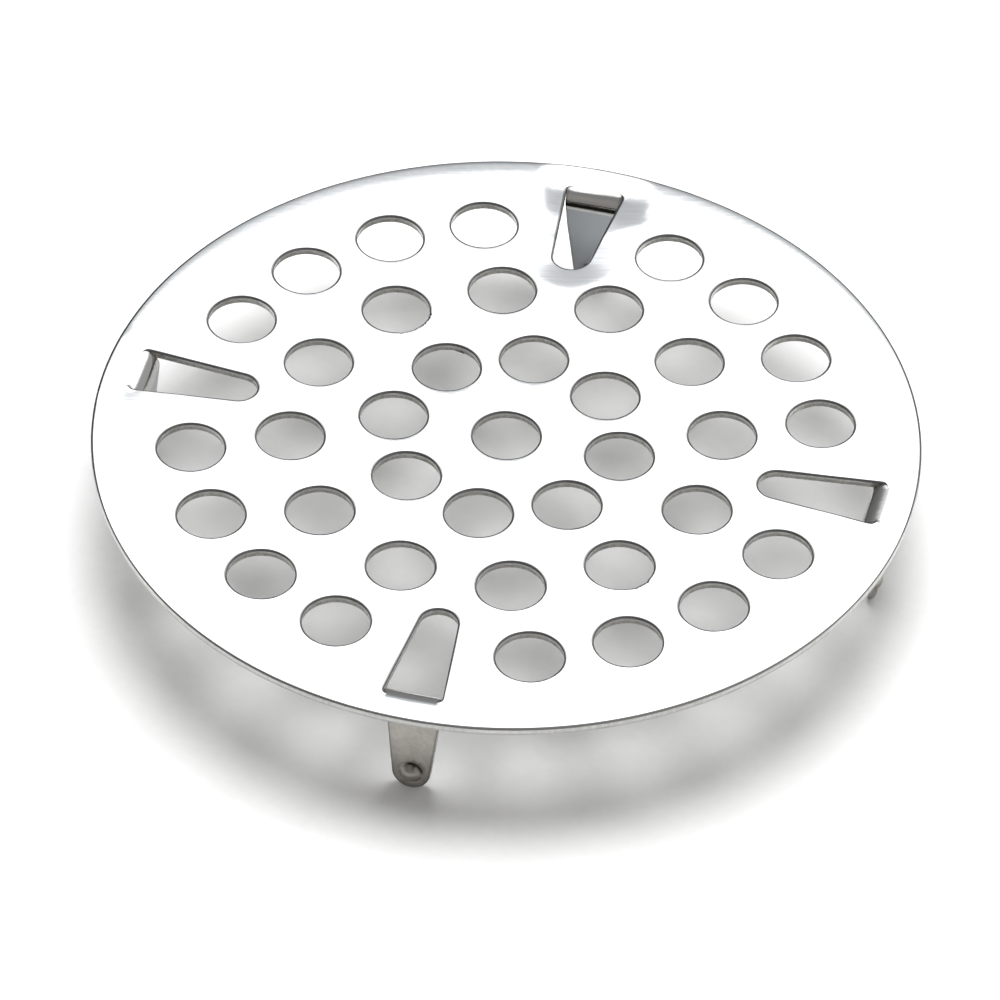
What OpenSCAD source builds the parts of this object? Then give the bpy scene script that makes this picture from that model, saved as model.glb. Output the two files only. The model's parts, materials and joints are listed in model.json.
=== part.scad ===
// Snap-in floor drain grate (strainer), stamped from one stainless sheet.
// A flat perforated disc covers the drain. Four tapered tongues are lanced out
// of the sheet, bent down through a little more than a right angle, and left
// as springy legs. A round-nosed detent pressed into the foot of each leg
// snaps under the lip of the drain body.
//
// Frame: the origin is the centre of the disc's underside, which is the face
// that seats in the drain. +Z is up, out of the floor. +X runs through the
// right leg and +Y through the rear one. All lengths are in millimetres.

/* [Disc] */
// Outside diameter of the disc (3-1/8 in)
disc_d = 79.375; // [77:0.125:84]
// Thickness of the sheet (22 gauge)
sheet_t = 0.8; // [0.7:0.05:1.1]

/* [Drain holes] */
// Diameter of every round drain hole (a nominal 1/4 in punching)
hole_d = 6.5; // [5:0.05:7.4]
// Radius of the inner ring of holes (7/16 in)
inner_ring_r = 11.1125; // [10.6:0.0125:11.6]
// Radial step from one ring to the next (3/8 in)
ring_step = 9.525; // [9.1:0.0125:9.7]
// Holes in the inner ring
inner_ring_count = 8; // [6:1:8]
// Holes in the middle ring
middle_ring_count = 12; // [8:4:12]
// Stations in the outer ring; the four in line with the legs have no hole
outer_ring_count = 20; // [12:4:20]

/* [Spring legs] */
// Length of the straight blade, from the end of the bend to the foot
leg_len = 10.1; // [8:0.1:11]
// Radius of the rounded foot of the blade
foot_r = 1.84; // [1.4:0.01:2]
// Angle by which each side of the tongue tapers
taper = 6; // [3:0.05:8]
// Angle through which the leg is bent; over 90 the foot splays outwards
bend_angle = 95; // [90:0.5:98]
// Inside radius of the bend, on the underside of the sheet
bend_r = 0.9; // [0.5:0.05:1.1]
// Flat margin from the edge of the disc to the line where the bend starts
rim_land = 2.9175; // [2.4:0.0025:3.6]
// Shearing gap between the tongue and the slot it was cut from
shear_gap = 0.06; // [0.05:0.01:0.1]

/* [Detents] */
// Diameter of the detent where it rises from the outer face of the leg
detent_d = 2.15; // [1.6:0.05:2.4]
// Height of the detent above the outer face of the leg
detent_h = 0.65; // [0.3:0.05:0.75]
// Diameter of the hollow left behind it in the inner face
hollow_d = 1.7; // [1:0.05:1.9]
// Depth of that hollow
hollow_depth = 0.6; // [0.2:0.05:0.65]

/* [Hidden] */
$fn = 96;

leg_count = 4;
leg_pitch = 360 / leg_count;
// How far cutting and trimming shapes run past what they cut
overcut = 1;
// How far the detent's base sinks into the blade, and the hollow's cutter
// runs out of its inner face
detent_sink = 0.2;
hollow_overcut = 0.5;

disc_r = disc_d / 2;
// Radius of the tangent line, where the flat disc ends and the bend begins
tangent_r = disc_r - rim_land;
// Neutral fibre of the bend, as a fraction of the sheet from its inside face
k_factor = 0.45;
// Length of flat sheet that the bend takes up
bend_flat = PI / 180 * bend_angle * (bend_r + k_factor * sheet_t);

// Half width of a tongue at a distance from the centre of its round end
function tongue_half(end_r, distance) = end_r / cos(taper) + distance * tan(taper);

// Round inner end of the slot, and the slot's length from there to its root
slot_r = foot_r + shear_gap;
slot_x = tangent_r - bend_flat - leg_len - shear_gap + slot_r;
slot_len = tangent_r - slot_x;
// Centre of the rounded foot, measured from the root of the blade
foot_x = leg_len - foot_r;

// Half widths of the bend, at the tangent line and at the root of the blade
bend_start_half = tongue_half(slot_r, slot_len) - shear_gap;
bend_end_half = tongue_half(foot_r, foot_x);
// Radius of the bend's middle fibre, and how far it runs inwards and down
bend_mid_r = bend_r + sheet_t / 2;
bend_run = bend_mid_r * sin(bend_angle);
bend_drop = bend_mid_r * (1 - cos(bend_angle));

// Hole places are [radius, angle]: one in the middle and three rings around it.
// The middle ring is turned by half its pitch.
function ring(radius, count, start = 0) =
    [for (i = [0:count - 1]) [radius, start + i * 360 / count]];
hole_places = concat(
    [[0, 0]],
    ring(inner_ring_r, inner_ring_count),
    ring(inner_ring_r + ring_step, middle_ring_count, 180 / middle_ring_count),
    [for (place = ring(inner_ring_r + 2 * ring_step, outer_ring_count))
        if (place[1] % leg_pitch != 0) place]
);

// Outline of a tapered tongue lying along X: a round end about the origin, with
// straight sides tangent to it, cut square at root_x on either side
module tongue_outline(end_r, root_x) {
    side_x = -sign(root_x) * end_r * sin(taper);
    side_half = end_r * cos(taper);
    root_half = tongue_half(end_r, abs(root_x));
    circle(r = end_r);
    polygon([
        [side_x, -side_half],
        [root_x, -root_half],
        [root_x, root_half],
        [side_x, side_half]
    ]);
}

module at_leg(i) {
    rotate([0, 0, i * leg_pitch])
        children();
}

module strainer_plate() {
    color([0.90, 0.91, 0.92])
    difference() {
        cylinder(r = disc_r, h = sheet_t, $fn = 240);
        for (place = hole_places)
            rotate([0, 0, place[1]])
                translate([place[0], 0, -overcut])
                    cylinder(d = hole_d, h = sheet_t + 2 * overcut);
        for (i = [0:leg_count - 1])
            at_leg(i)
                translate([slot_x, 0, -overcut])
                    linear_extrude(sheet_t + 2 * overcut)
                        tongue_outline(slot_r, slot_len);
    }
}

// The bent sheet, from the tangent line to the root of the blade. Its sides
// taper with the tongue.
module root_bend() {
    chord = norm([bend_run, bend_drop]);
    chord_angle = atan2(bend_drop, bend_run);
    slope = (bend_start_half - bend_end_half) / chord;
    // the trimming wedge runs past both ends of the chord by the outside radius
    outside_r = sheet_t + bend_r;
    wedge_start_half = bend_start_half + slope * outside_r;
    wedge_end_half = bend_end_half - slope * outside_r;
    sweep_half = bend_start_half + overcut;
    color([0.70, 0.70, 0.69])
    translate([tangent_r, 0, -bend_r])
        intersection() {
            // the sheet's section, swept about Y from straight up towards the middle
            rotate([90, 0, 0])
                rotate([0, 0, 90])
                    translate([0, 0, -sweep_half])
                        rotate_extrude(angle = bend_angle)
                            translate([bend_r, 0])
                                square([sheet_t, 2 * sweep_half]);
            // the wedge, laid along the chord of the middle fibre
            translate([0, 0, bend_mid_r])
                rotate([0, 180 - chord_angle, 0])
                    translate([0, 0, -3 * outside_r])
                        linear_extrude(6 * outside_r)
                            polygon([
                                [-outside_r, wedge_start_half],
                                [-outside_r, -wedge_start_half],
                                [chord + outside_r, -wedge_end_half],
                                [chord + outside_r, wedge_end_half]
                            ]);
        }
}

// Puts a shape drawn flat in XY, with its root at x = 0 and the leg's outer
// face at z = 0, at the end of the bend. The shape's +Z then faces outwards.
module at_bend_end() {
    translate([tangent_r, 0, -bend_r])
        rotate([0, 180 - bend_angle, 0])
            translate([0, 0, -bend_r])
                children();
}

// A spherical cap standing on z = 0, continued below it by the given depth
module cap(base_d, height, below) {
    sphere_r = (base_d * base_d / 4 + height * height) / (2 * height);
    intersection() {
        translate([0, 0, height - sphere_r])
            sphere(r = sphere_r);
        translate([0, 0, -below])
            cylinder(d = base_d, h = height + below + overcut);
    }
}

// The straight blade, with the detent and its hollow centred on the foot
module spring_leg() {
    color([0.58, 0.56, 0.53])
    at_bend_end()
        difference() {
            union() {
                translate([foot_x, 0, -sheet_t])
                    linear_extrude(sheet_t)
                        tongue_outline(foot_r, -foot_x);
                translate([foot_x, 0, 0])
                    cap(detent_d, detent_h, detent_sink);
            }
            translate([foot_x, 0, -sheet_t])
                cap(hollow_d, hollow_depth, hollow_overcut);
        }
}

module root_bend_right() { at_leg(0) root_bend(); }
module root_bend_rear()  { at_leg(1) root_bend(); }
module root_bend_left()  { at_leg(2) root_bend(); }
module root_bend_front() { at_leg(3) root_bend(); }
module spring_leg_right() { at_leg(0) spring_leg(); }
module spring_leg_rear()  { at_leg(1) spring_leg(); }
module spring_leg_left()  { at_leg(2) spring_leg(); }
module spring_leg_front() { at_leg(3) spring_leg(); }

strainer_plate();
root_bend_right();
root_bend_rear();
root_bend_left();
root_bend_front();
spring_leg_right();
spring_leg_rear();
spring_leg_left();
spring_leg_front();
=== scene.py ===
import json
import math

import bmesh
import bpy
import numpy as np
from mathutils import Matrix, Vector
from mathutils.geometry import delaunay_2d_cdt


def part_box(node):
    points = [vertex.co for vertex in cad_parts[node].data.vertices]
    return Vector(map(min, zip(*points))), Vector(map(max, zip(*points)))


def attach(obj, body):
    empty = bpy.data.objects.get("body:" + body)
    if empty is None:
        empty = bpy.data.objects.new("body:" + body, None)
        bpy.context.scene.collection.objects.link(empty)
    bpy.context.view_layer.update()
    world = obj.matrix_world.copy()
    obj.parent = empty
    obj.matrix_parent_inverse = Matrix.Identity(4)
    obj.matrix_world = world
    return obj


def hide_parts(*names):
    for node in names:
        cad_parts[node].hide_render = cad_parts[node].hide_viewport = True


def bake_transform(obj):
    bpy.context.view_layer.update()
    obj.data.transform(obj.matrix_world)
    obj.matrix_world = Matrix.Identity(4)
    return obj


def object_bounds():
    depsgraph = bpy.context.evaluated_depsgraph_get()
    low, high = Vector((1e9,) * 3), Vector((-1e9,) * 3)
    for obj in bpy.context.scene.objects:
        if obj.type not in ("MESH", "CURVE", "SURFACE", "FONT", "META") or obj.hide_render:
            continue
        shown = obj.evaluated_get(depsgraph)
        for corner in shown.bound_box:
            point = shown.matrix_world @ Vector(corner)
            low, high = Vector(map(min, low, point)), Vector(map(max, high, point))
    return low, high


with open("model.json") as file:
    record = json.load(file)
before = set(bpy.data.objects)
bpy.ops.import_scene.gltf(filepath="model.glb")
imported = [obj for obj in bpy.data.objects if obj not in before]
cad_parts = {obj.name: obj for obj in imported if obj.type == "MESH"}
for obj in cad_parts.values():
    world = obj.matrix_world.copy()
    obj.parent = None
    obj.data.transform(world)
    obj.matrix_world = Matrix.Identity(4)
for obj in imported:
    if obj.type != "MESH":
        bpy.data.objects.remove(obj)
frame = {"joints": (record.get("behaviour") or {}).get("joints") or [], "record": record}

cad_lo, cad_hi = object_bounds()
record = frame["record"]

# ---------------------------------------------------------------------------
# Sizes, in millimetres. The disc, the sheet and the bends are read from model.glb and
# model.json; the rest repeats the drawing of the part.
# ---------------------------------------------------------------------------
MM = 0.001
plate_lo, plate_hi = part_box("strainer_plate")
leg_lo, leg_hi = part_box("spring_leg_front")
T = (plate_hi.z - plate_lo.z) / MM  # thickness of the sheet
R = next(m for m in record["mounts"] if m["name"] == "rim")["dims"]["r_mm"]
hinge = {j["name"]: j for j in frame["joints"]}["leg_right_flex"]["pos_m"]
XT = math.hypot(hinge[0], hinge[1]) / MM  # where the bends start
BR = -hinge[2] / MM  # inside radius of the bends
RIM_R = R - 0.012  # the CAD mesh has flats this deep, and the looks stay inside it
BEND = math.radians(95.0)
LEG = 10.1
FOOT = 1.84
TAPER = math.radians(6.0)
GAP = 0.035
BEND_FLAT = BEND * (BR + 0.45 * T)
# pressing the sheet flat again after lancing closes the slots a little, so the shearing gap hardly shows
SLOT_R = FOOT
SLOT_X = XT - BEND_FLAT - LEG + 0.10 + SLOT_R
SLOT_TAPER = math.radians(5.7)
SLOT_TAN = math.tan(SLOT_TAPER)
HOLE_R = 3.22  # the punched land; the torn zone under it opens out a little
RING_1, STEP = 11.1125, 9.525
TAN = math.tan(TAPER)

SIDES = [("right", 0), ("rear", 90), ("left", 180), ("front", 270)]
CAM_TURN = math.radians(13.0)  # the camera stands 13 degrees round from the front leg


def slot_half(x):
    return SLOT_R / math.cos(SLOT_TAPER) + (x - SLOT_X) * SLOT_TAN


W0 = slot_half(XT)  # half width where the sheet is whole again
CORNER_S, CORNER_Y = 0.80, 0.55  # the slot's corners are rounded off by this much along it and across it
W1 = W0 - CORNER_Y  # half width of what is left of the bend line between them


def corner(s):
    """How much the rounded corner narrows the slot at s from the bend line."""
    return CORNER_Y * (1 - np.sqrt(1 - (1 - np.clip(np.asarray(s, float) / CORNER_S, 0, 1)) ** 2))


holes = [(0.0, 0.0)]
for k in range(8):
    a = math.radians(45 * k)
    holes.append((RING_1 * math.cos(a), RING_1 * math.sin(a)))
for k in range(12):
    a = math.radians(15 + 30 * k)
    holes.append(((RING_1 + STEP) * math.cos(a), (RING_1 + STEP) * math.sin(a)))
for k in range(20):
    if k % 5:
        a = math.radians(18 * k)
        holes.append(((RING_1 + 2 * STEP) * math.cos(a), (RING_1 + 2 * STEP) * math.sin(a)))


# ---------------------------------------------------------------------------
# Small helpers
# ---------------------------------------------------------------------------
def smooth(x, a=0.0, b=1.0):
    t = np.clip((np.asarray(x, float) - a) / (b - a), 0.0, 1.0)
    return t * t * (3 - 2 * t)


def ripple(x, y, seed, scale, count=14):
    """A smooth repeatable field between about -1 and 1: a sum of sines of mixed direction and length near scale."""
    rng = np.random.RandomState(seed)
    out = np.zeros(np.broadcast(x, y).shape)
    for _ in range(count):
        th = rng.uniform(0, 2 * math.pi)
        k = 2 * math.pi / (scale * rng.uniform(0.6, 1.9))
        out = out + np.sin(k * (x * math.cos(th) + y * math.sin(th)) + rng.uniform(0, 2 * math.pi))
    return out / math.sqrt(count)


def turn(xy, deg):
    a = math.radians(deg)
    c, s = math.cos(a), math.sin(a)
    xy = np.asarray(xy, float)
    return np.stack([xy[..., 0] * c - xy[..., 1] * s, xy[..., 0] * s + xy[..., 1] * c], -1)


def inside_polygon(p, poly):
    x, y = p[:, 0], p[:, 1]
    res = np.zeros(len(p), bool)
    j = len(poly) - 1
    for i in range(len(poly)):
        xi, yi = poly[i]
        xj, yj = poly[j]
        hit = (yi > y) != (yj > y)
        with np.errstate(divide="ignore", invalid="ignore"):
            cross = (xj - xi) * (y - yi) / (yj - yi) + xi
        res ^= hit & (x < cross)
        j = i
    return res


def segment_distance(p, a, b):
    d = b - a
    t = np.clip(((p - a) @ d) / (d @ d), 0, 1)
    return np.linalg.norm(p - (a + t[:, None] * d), axis=1)


# ---------------------------------------------------------------------------
# The slot outline in its own frame, with the leg along +X: from the corner at
# (XT, +W0), down one side, round the inner end and back to (XT, -W0)
# ---------------------------------------------------------------------------
def slot_path(step=0.22):
    end = np.array([SLOT_X - SLOT_R * math.sin(SLOT_TAPER), SLOT_R * math.cos(SLOT_TAPER)])
    start = np.array([XT - CORNER_S, W0 - CORNER_S * SLOT_TAN])
    n = int(np.linalg.norm(start - end) / step)
    f = np.linspace(0, 1, n, endpoint=False)
    f = np.where(f < 0.12, f * f / 0.12 * 0.5 + f * 0.5, f)
    side = start + f[:, None] * (end - start)
    normal = np.tile([-math.sin(SLOT_TAPER), math.cos(SLOT_TAPER)], (len(side), 1))
    a = np.linspace(0, math.pi / 2, 12)[:-1]
    away = CORNER_S * (1 - np.cos(a))
    round_off = np.stack([XT - away, W0 - corner(away) - away * SLOT_TAN], 1)
    round_n = np.stack([np.cos(a) / CORNER_S, np.sin(a) / CORNER_Y], 1)
    round_n /= np.linalg.norm(round_n, axis=1, keepdims=True)
    side, normal = np.vstack([round_off, side]), np.vstack([round_n, normal])
    m = 40
    ang = np.linspace(math.pi / 2 + SLOT_TAPER, 1.5 * math.pi - SLOT_TAPER, m)
    arc = np.stack([SLOT_X + SLOT_R * np.cos(ang), SLOT_R * np.sin(ang)], 1)
    arc_n = np.stack([np.cos(ang), np.sin(ang)], 1)
    other = side[::-1] * [1, -1]
    other_n = normal[::-1] * [1, -1]
    return np.vstack([side, arc, other]), np.vstack([normal, arc_n, other_n])


SLOT_PTS, SLOT_NRM = slot_path()
slot_polys = [turn(SLOT_PTS, az) for _, az in SIDES]


def slot_distance_one(q):
    """Distance from the cut slot edge of a leg lying along +X, not counting the bend line."""
    q = np.stack([q[:, 0], np.abs(q[:, 1])], 1)
    side = segment_distance(
        q,
        np.array([XT, W0]),
        np.array([SLOT_X - SLOT_R * math.sin(SLOT_TAPER), SLOT_R * math.cos(SLOT_TAPER)]),
    )
    v = q - np.array([SLOT_X, 0.0])
    arc = np.abs(np.linalg.norm(v, axis=1) - SLOT_R)
    return np.minimum(side, np.where(v[:, 0] < -SLOT_R * math.sin(SLOT_TAPER), arc, 1e9))


def slot_distance(xy):
    return np.min([slot_distance_one(turn(xy, -az)) for _, az in SIDES], axis=0)


def line_distance(xy):
    """Distance from the nearest bend line."""
    best = np.full(len(xy), 1e9)
    for _, az in SIDES:
        q = turn(xy, -az)
        best = np.minimum(best, segment_distance(q, np.array([XT, -W1]), np.array([XT, W1])))
    return best


def hole_distance(xy):
    best = np.full(len(xy), 1e9)
    for cx, cy in holes:
        best = np.minimum(best, np.abs(np.hypot(xy[:, 0] - cx, xy[:, 1] - cy) - HOLE_R))
    return best


DRAG, DRAG_L = 0.080, 0.55  # bending a leg down pulls its bend line down with it, and softens the start of the bend


def cone(d, reach, soft):
    """reach - d inside reach and 0 outside it, with the corner rounded off over soft."""
    x = (reach - d) / soft
    return soft * np.where(x > 1, x, np.where(x < -1, 0.0, (x + 1) ** 2 / 4))


def dish(xy):
    """How far the sheet sinks below flat: punching and bending draw it down beside each edge, and it is never dead flat."""
    xy = np.asarray(xy, float).reshape(-1, 2)
    ds, dh, dl = slot_distance(xy), hole_distance(xy), line_distance(xy)
    rad = np.hypot(xy[:, 0], xy[:, 1])
    keep = smooth(dl, 0.0, 1.3)
    z = -0.030 * np.exp(-ds / 1.5) * keep
    # the holes in the middle are punched last, and dish most
    z -= (0.017 + 0.018 * (1 - smooth(rad, 6.0, 22.0))) * np.exp(-dh / 0.5)
    z -= 0.012 * (2 + ripple(xy[:, 0], xy[:, 1], 5, 30.0)) * 0.5 * keep
    z -= 0.0010 * (2 + ripple(xy[:, 0], xy[:, 1], 9, 7.0)) * 0.5 * keep
    # the blanked edge droops, but not where the land in front of a leg stiffens it
    relief = np.ones(len(xy))
    for name, az in SIDES:
        q = turn(xy, -az)
        u = XT - q[:, 0]
        out = np.abs(q[:, 1])
        beside = np.maximum(out - slot_half(np.minimum(q[:, 0], XT)), 0)
        relief = np.minimum(relief, np.where(q[:, 0] > 0, smooth(out, 3.8, 6.0), 1.0))
        # the sheet beside a bend is dragged down with it, most at the rear leg, which has been bent hardest
        side = np.exp(-((beside / 2.1) ** 4)) * (1 - smooth(-u, 0.0, 1.6))
        z -= 0.005 * cone(np.maximum(u, 0), 4.0, 0.5) * side
        if name == "rear":
            near = np.where((u > 4) & (u < 20) & (out < 8), slot_distance_one(q), 1e9)
            z -= 0.024 * cone(near, 2.9, 0.35) * smooth(u, 4.0, 8.0)
            c = turn(xy, -13)
            low = 28.3 + 2.4 * smooth(c[:, 0], 7.0, 13.6)
            high = 35.4 - 0.231 * (c[:, 0] - 5.42)
            ramp = cone(low - c[:, 1], 0.0, 0.4) - cone(high - c[:, 1], 0.0, 0.4)
            band = smooth(c[:, 0], 2.6, 4.3) * (1 - smooth(c[:, 0], 12.2, 14.2))
            z -= 0.031 * ramp * band * (1 - smooth(c[:, 1], high + 0.8, high + 4.2))
    turned_under = 0.048 - 0.030 * smooth(-turn(xy, -13)[:, 1], 4.0, 26.0)
    z -= 0.039 * np.exp(-(R - rad) / 1.3) * relief + turned_under * np.exp(-(R - rad) / 0.25)
    z -= DRAG * np.exp(-dl / DRAG_L)
    return np.minimum(z, 0.0)


# ---------------------------------------------------------------------------
# Edge profiles: (distance into the metal, height share measured down from the
# top as mm) from the flat top, over the rolled edge, down the sheared wall and
# round to the underside
# ---------------------------------------------------------------------------
def quarter(r_o, r_z, steps, top=True):
    out = []
    for i in range(steps + 1):
        a = math.pi / 2 * i / steps
        if top:
            out.append((r_o * (1 - math.sin(a)), r_z * (1 - math.cos(a))))
        else:
            out.append((r_o * (1 - math.cos(a)), T - r_z * (1 - math.sin(a))))
    return out


PUNCHED = (
    [(0.70, 0.0), (0.40, 0.0), (0.24, 0.0)]
    + quarter(0.20, 0.13, 7)
    + [(0.0, 0.20), (0.0, 0.34), (0.004, 0.42), (0.016, 0.48), (0.026, 0.58), (0.036, 0.70)]
    + [(0.040, T - 0.03), (0.052, T - 0.012), (0.075, T)]
    + [(0.16, T), (0.40, T)]
)
RIM = (
    [(0.80, 0.0), (0.56, 0.0), (0.40, 0.0), (0.30, 0.0)]
    + quarter(0.24, 0.12, 7)
    + [(0.0, 0.22), (0.0, 0.40), (0.006, 0.50), (0.010, 0.62)]
    + quarter(0.10, 0.12, 5, top=False)
    + [(0.18, T), (0.36, T)]
)
TONGUE = (
    [(0.45, 0.0), (0.20, 0.0), (0.085, 0.0)]
    + quarter(0.045, 0.04, 4)
    + [(0.012, 0.12), (0.020, 0.28), (0.010, 0.40), (0.0, 0.48), (0.0, 0.62)]
    + quarter(0.14, 0.15, 6, top=False)
    + [(0.24, T), (0.46, T)]
)


# ---------------------------------------------------------------------------
# Mesh assembly: vertices are collected with the place they had in the flat
# sheet, so that grain and marks run on through the bends
# ---------------------------------------------------------------------------
class Shell:
    def __init__(self):
        self.v, self.flat, self.edge, self.mark = [], [], [], []
        self.faces, self.mat = [], []

    def add(self, pts, flat, edge, mark=0.0):
        first = sum(len(a) for a in self.v)
        self.v.append(np.asarray(pts, float))
        self.flat.append(np.asarray(flat, float))
        self.edge.append(np.broadcast_to(np.asarray(edge, float), (len(pts),)).copy())
        self.mark.append(np.broadcast_to(np.asarray(mark, float), (len(pts),)).copy())
        return np.arange(first, first + len(pts))

    def put(self, face, mat):
        """A face, without the corners that repeat where rows of points run together."""
        face = [int(i) for i in face]
        face = [i for k, i in enumerate(face) if i != face[k - 1]]
        if len(face) > 2:
            self.faces.append(tuple(face))
            self.mat.append(mat)

    def grid(self, rows, mat, closed):
        """Quads between neighbouring rows of equal length. mat is one index, or one for each band."""
        for k in range(len(rows) - 1):
            a, b = rows[k], rows[k + 1]
            n = len(a)
            m = mat[k] if isinstance(mat, (list, tuple)) else mat
            for i in range(n if closed else n - 1):
                j = (i + 1) % n
                self.put((a[i], a[j], b[j], b[i]), m)

    def polygons(self, tris, mat):
        for t in tris:
            self.put(t, mat)


def triangulate(loops, extra, keep):
    """Triangles over the plane between closed loops of points, with extra points inside. loops and extra hold (points, indices)."""
    pts = np.vstack([p for p, _ in loops] + [p for p, _ in extra])
    ids = np.concatenate([i for _, i in loops] + [i for _, i in extra])
    edges, first = [], 0
    for p, _ in loops:
        n = len(p)
        edges += [(first + i, first + (i + 1) % n) for i in range(n)]
        first += n
    out = delaunay_2d_cdt([Vector(p) for p in pts], edges, [], 0, 1e-6, True)
    back = [o[0] for o in out[3]]
    tris = np.array([[back[i] for i in f] for f in out[2] if len(f) == 3])
    centre = pts[tris].mean(1)
    good = keep(centre)
    tris = tris[good]
    a, b, c = pts[tris[:, 0]], pts[tris[:, 1]], pts[tris[:, 2]]
    area = (b[:, 0] - a[:, 0]) * (c[:, 1] - a[:, 1]) - (b[:, 1] - a[:, 1]) * (c[:, 0] - a[:, 0])
    tris = tris[np.abs(area) > 1e-10]
    area = area[np.abs(area) > 1e-10]
    tris[area < 0] = tris[area < 0][:, ::-1]
    return ids[tris]


def make_object(name, shell, materials, hard=(), fixed=None, matrix=None):
    """A closed, smooth-shaded mesh, in metres from mm. Faces in hard keep their own flat normal; fixed maps a vertex to a given normal."""
    used = np.unique(np.concatenate([np.array(f) for f in shell.faces]))
    number = np.full(sum(len(a) for a in shell.v), -1)
    number[used] = np.arange(len(used))
    v = np.vstack(shell.v)[used]
    given = np.zeros((len(used), 3))
    for k, n in (fixed or {}).items():
        given[number[k]] = n
    flags = np.zeros(len(shell.faces), np.int32)
    flags[list(hard)] = 1
    if matrix is not None:
        v = v @ matrix.T
    me = bpy.data.meshes.new(name)
    me.from_pydata((v * MM).tolist(), [], [tuple(int(number[i]) for i in f) for f in shell.faces])
    me.polygons.foreach_set("material_index", np.array(shell.mat, np.int32))
    me.polygons.foreach_set("use_smooth", np.ones(len(shell.faces), bool))
    for label, kind, data in (
        ("sheet", "FLOAT_VECTOR", np.vstack(shell.flat)[used]),
        ("given_normal", "FLOAT_VECTOR", given),
        ("edge_mm", "FLOAT", np.concatenate(shell.edge)[used]),
        ("mark", "FLOAT", np.concatenate(shell.mark)[used]),
    ):
        at = me.attributes.new(label, kind, "POINT")
        at.data.foreach_set("vector" if kind == "FLOAT_VECTOR" else "value", data.astype(np.float32).ravel())
    me.attributes.new("hard", "INT", "FACE").data.foreach_set("value", flags)
    me.update()
    # weld the points that coincide where profiles run out to nothing
    bm = bmesh.new()
    bm.from_mesh(me)
    bmesh.ops.remove_doubles(bm, verts=bm.verts, dist=2e-7)
    bmesh.ops.recalc_face_normals(bm, faces=bm.faces)
    open_edges = [e for e in bm.edges if not e.is_manifold]
    flat_faces = [f for f in bm.faces if f.calc_area() < 1e-14]
    print("MESH", name, "faces", len(bm.faces), "open", len(open_edges), "flat", len(flat_faces), "volume mm3", round(bm.calc_volume(signed=True) * 1e9, 2))
    bm.to_mesh(me)
    bm.free()
    me.update()
    for m in materials:
        me.materials.append(m)
    ob = bpy.data.objects.new(name, me)
    bpy.context.scene.collection.objects.link(ob)
    shade(ob)
    return ob


def shade(ob):
    """Normals weighted by face area."""
    me = ob.data
    nl, nv, nf = len(me.loops), len(me.vertices), len(me.polygons)
    lv = np.zeros(nl, np.int32)
    me.loops.foreach_get("vertex_index", lv)
    pn, pa, lt, flags, given = np.zeros(nf * 3), np.zeros(nf), np.zeros(nf, np.int32), np.zeros(nf, np.int32), np.zeros(nv * 3)
    me.polygons.foreach_get("normal", pn)
    me.polygons.foreach_get("area", pa)
    me.polygons.foreach_get("loop_total", lt)
    me.attributes["hard"].data.foreach_get("value", flags)
    me.attributes["given_normal"].data.foreach_get("vector", given)
    pn, given = pn.reshape(-1, 3), given.reshape(-1, 3)
    face_of = np.repeat(np.arange(nf), lt)
    use = flags[face_of] == 0
    acc = np.zeros((nv, 3))
    np.add.at(acc, lv[use], pn[face_of[use]] * pa[face_of[use]][:, None])
    length = np.linalg.norm(acc, axis=1, keepdims=True)
    acc = np.where(length > 1e-16, acc / np.maximum(length, 1e-16), [0, 0, 1.0])
    has = np.linalg.norm(given, axis=1) > 0.5
    acc[has] = given[has]
    loops = acc[lv]
    loops[~use] = pn[face_of[~use]]
    me.normals_split_custom_set(loops.tolist())
    me.attributes.remove(me.attributes["hard"])
    me.attributes.remove(me.attributes["given_normal"])
    me.update()


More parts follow.
